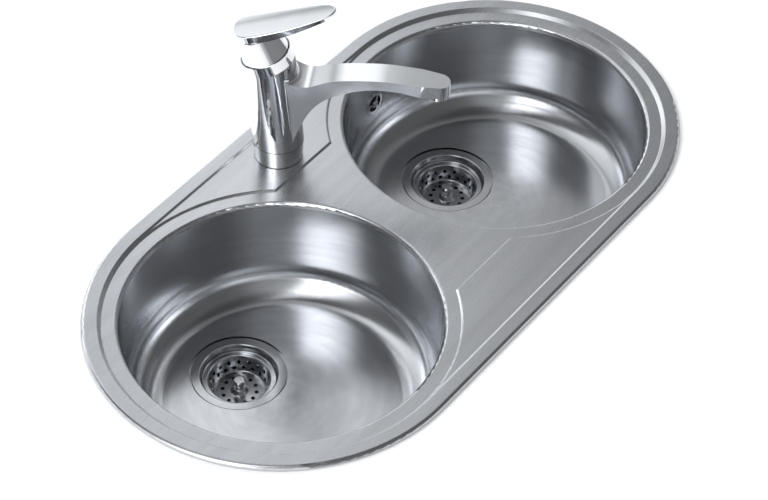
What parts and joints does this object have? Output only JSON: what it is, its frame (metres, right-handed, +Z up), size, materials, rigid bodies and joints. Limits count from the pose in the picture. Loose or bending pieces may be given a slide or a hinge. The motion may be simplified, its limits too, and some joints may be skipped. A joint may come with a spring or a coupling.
{
  "type": "double bowl kitchen sink with tap",
  "caption": "Oval inset steel sink with round bowls, lift-out strainers, an overflow and a swivel tap worked by a single lever.",
  "frame": {"origin": "middle of the sink in the plane of the worktop it is set into", "axes": "+Z up, +X along the sink towards the bowl with the overflow, -Y towards the user"},
  "size_m": [0.855, 0.448, 0.4578],
  "materials": {
    "brushed_steel": "fine satin brushing",
    "polished_steel": "polished",
    "chrome": "mirror plating",
    "brass": "machined",
    "zinc_plate": "bright zinc plating",
    "black_plastic": "moulded, fine grain",
    "white_plastic": "moulded",
    "rubber": "matt",
    "index_plastic": "smooth"
  },
  "bodies": {
    "sink": {"clamp_claws": "zinc_plate", "clamp_hangers": "zinc_plate", "clamp_screws": "zinc_plate", "column_o_rings": "rubber", "glide_ring": "white_plastic", "left_bowl": "brushed_steel", "left_flange_gasket": "rubber", "left_lower_gasket": "rubber", "left_sound_pad": "rubber", "left_strainer_cup": "polished_steel", "left_waste_body": "black_plastic", "left_waste_screw": "polished_steel", "overflow_elbow": "black_plastic", "overflow_grille": "polished_steel", "overflow_pipe": "black_plastic", "overflow_screw": "polished_steel", "overflow_seal": "rubber", "right_bowl": "brushed_steel", "right_flange_gasket": "rubber", "right_lower_gasket": "rubber", "right_sound_pad": "rubber", "right_strainer_cup": "polished_steel", "right_waste_body": "black_plastic", "right_waste_screw": "polished_steel", "rim_seal": "rubber", "shank_gasket": "rubber", "shank_nut": "brass", "shank_plate": "zinc_plate", "sink_top": "brushed_steel", "tap_base_ring": "chrome", "tap_base_seal": "rubber", "tap_column": "brass"},
    "left_strainer": {"left_basket": "polished_steel", "left_basket_knob": "polished_steel", "left_basket_plug": "black_plastic", "left_plug_seal": "rubber"},
    "right_strainer": {"right_basket": "polished_steel", "right_basket_knob": "polished_steel", "right_basket_plug": "black_plastic", "right_plug_seal": "rubber"},
    "spout": {"tap_body": "chrome", "stop_screw": "zinc_plate", "aerator_housing": "chrome", "aerator_insert": "white_plastic", "aerator_washer": "rubber", "cartridge": "white_plastic", "cartridge_nut": "brass"},
    "mixing_spindle_seat": {"cartridge_carrier": "white_plastic", "pivot_pin": "zinc_plate"},
    "lever": {"lever": "chrome", "spindle": "zinc_plate", "grub_screw": "zinc_plate", "index_plug": "index_plastic"}
  },
  "joints": [
    {"name": "tap_swivel", "type": "hinge", "parent": "sink", "child": "spout", "pos_m": [0, 0.166, 0.045], "axis": [0, 0, 1], "range_deg": [-90, 30]},
    {"name": "lever_turn", "type": "hinge", "parent": "spout", "child": "mixing_spindle_seat", "pos_m": [-0.0064, 0.17708, 0.157], "axis": [-0.171, 0.2962, 0.9397], "range_deg": [-50, 50]},
    {"name": "lever_lift", "type": "hinge", "parent": "mixing_spindle_seat", "child": "lever", "pos_m": [-0.0064, 0.17708, 0.157], "axis": [-0.866, -0.5, 0], "range_deg": [0, 22]},
    {"name": "left_basket_lift", "type": "slide", "parent": "sink", "child": "left_strainer", "axis": [0, 0, 1], "range_m": [0, 0.08]},
    {"name": "right_basket_lift", "type": "slide", "parent": "sink", "child": "right_strainer", "axis": [0, 0, 1], "range_m": [0, 0.08]}
  ]
}
